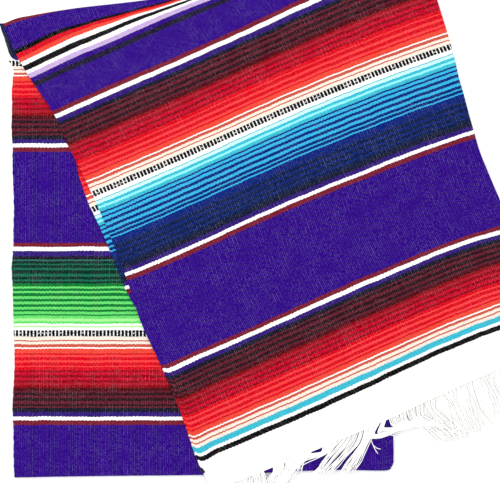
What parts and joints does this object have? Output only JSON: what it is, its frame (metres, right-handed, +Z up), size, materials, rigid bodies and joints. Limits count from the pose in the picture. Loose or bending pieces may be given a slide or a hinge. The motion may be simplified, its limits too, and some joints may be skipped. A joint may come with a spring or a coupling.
{
  "type": "mexican serape",
  "caption": "Striped woven serape blanket with a fringed end, doubled lengthwise and folded over, lying flat.",
  "frame": {"origin": "middle of the whole outline, on the surface that the blanket lies on", "axes": "+Z up from that surface, +Y towards the head fold along the lower leaf's warp, +X towards its lengthwise fold"},
  "size_m": [1.1397, 1.1689, 0.0165],
  "materials": {
    "striped_wool": "weft-faced weave, matt, in purple, red, blue, green, white and black stripes",
    "hidden_wool": "weft-faced weave, matt",
    "warp_fringe": "soft twisted white warp ends"
  },
  "bodies": {
    "root": {"upper_leaf_top": "striped_wool", "upper_leaf_under": "striped_wool", "lower_leaf_top": "striped_wool", "hidden_layers": "hidden_wool", "fringe_top": "warp_fringe", "fringe_under": "warp_fringe"}
  },
  "joints": []
}
